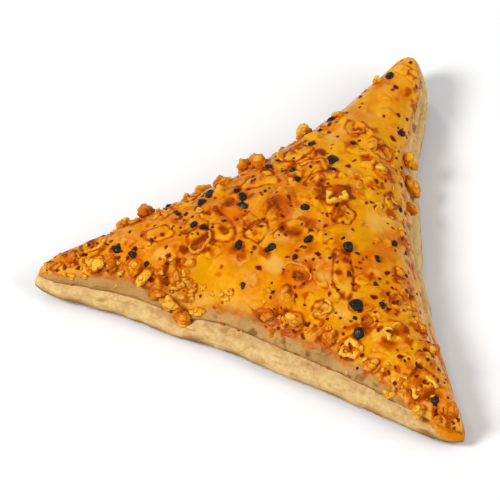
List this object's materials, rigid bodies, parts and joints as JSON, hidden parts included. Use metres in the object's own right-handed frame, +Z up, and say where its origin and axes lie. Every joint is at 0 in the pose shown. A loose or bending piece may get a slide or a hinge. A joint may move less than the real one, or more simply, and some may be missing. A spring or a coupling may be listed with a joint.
{
  "type": "samosa",
  "caption": "Triangular baked puff pastry samosa with a domed, glazed and crumbed crust over pale layered sides.",
  "frame": {"origin": "under the middle of the bounding box, on the surface that the samosa rests on", "axes": "+Z up, +X along the front side from the left tip to the right one, +Y towards the far tip"},
  "size_m": [0.0882, 0.078, 0.0178],
  "materials": {
    "crust": "baked golden orange glaze with crumbs, soft satin gloss",
    "pastry": "pale unglazed layered puff pastry, matt",
    "crumb": "toasted crumb, satin",
    "seed": "black seeds and dark specks, glossy"
  },
  "bodies": {
    "root": {"samosa": "crust"}
  },
  "joints": []
}
